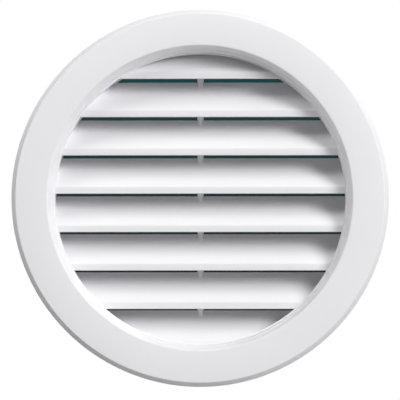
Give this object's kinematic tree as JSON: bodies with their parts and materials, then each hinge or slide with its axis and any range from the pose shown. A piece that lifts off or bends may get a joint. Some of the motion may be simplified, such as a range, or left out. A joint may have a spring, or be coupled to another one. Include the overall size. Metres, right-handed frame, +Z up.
{
  "type": "round louvred ventilation grille",
  "caption": "Round white ventilation grille with a flat flange, a stepped mouth, sloping louvre blades and a push-in collar.",
  "frame": {"origin": "on the collar's axis, in the plane of the wall that the flange lies against", "axes": "+Z up, the louvres face -Y, +Y into the wall, +X to the right seen from the front"},
  "size_m": [0.175, 0.026, 0.175],
  "materials": {
    "white_plastic": "satin moulded white plastic with a fine even grain"
  },
  "bodies": {
    "root": {"grille": "white_plastic"}
  },
  "joints": []
}
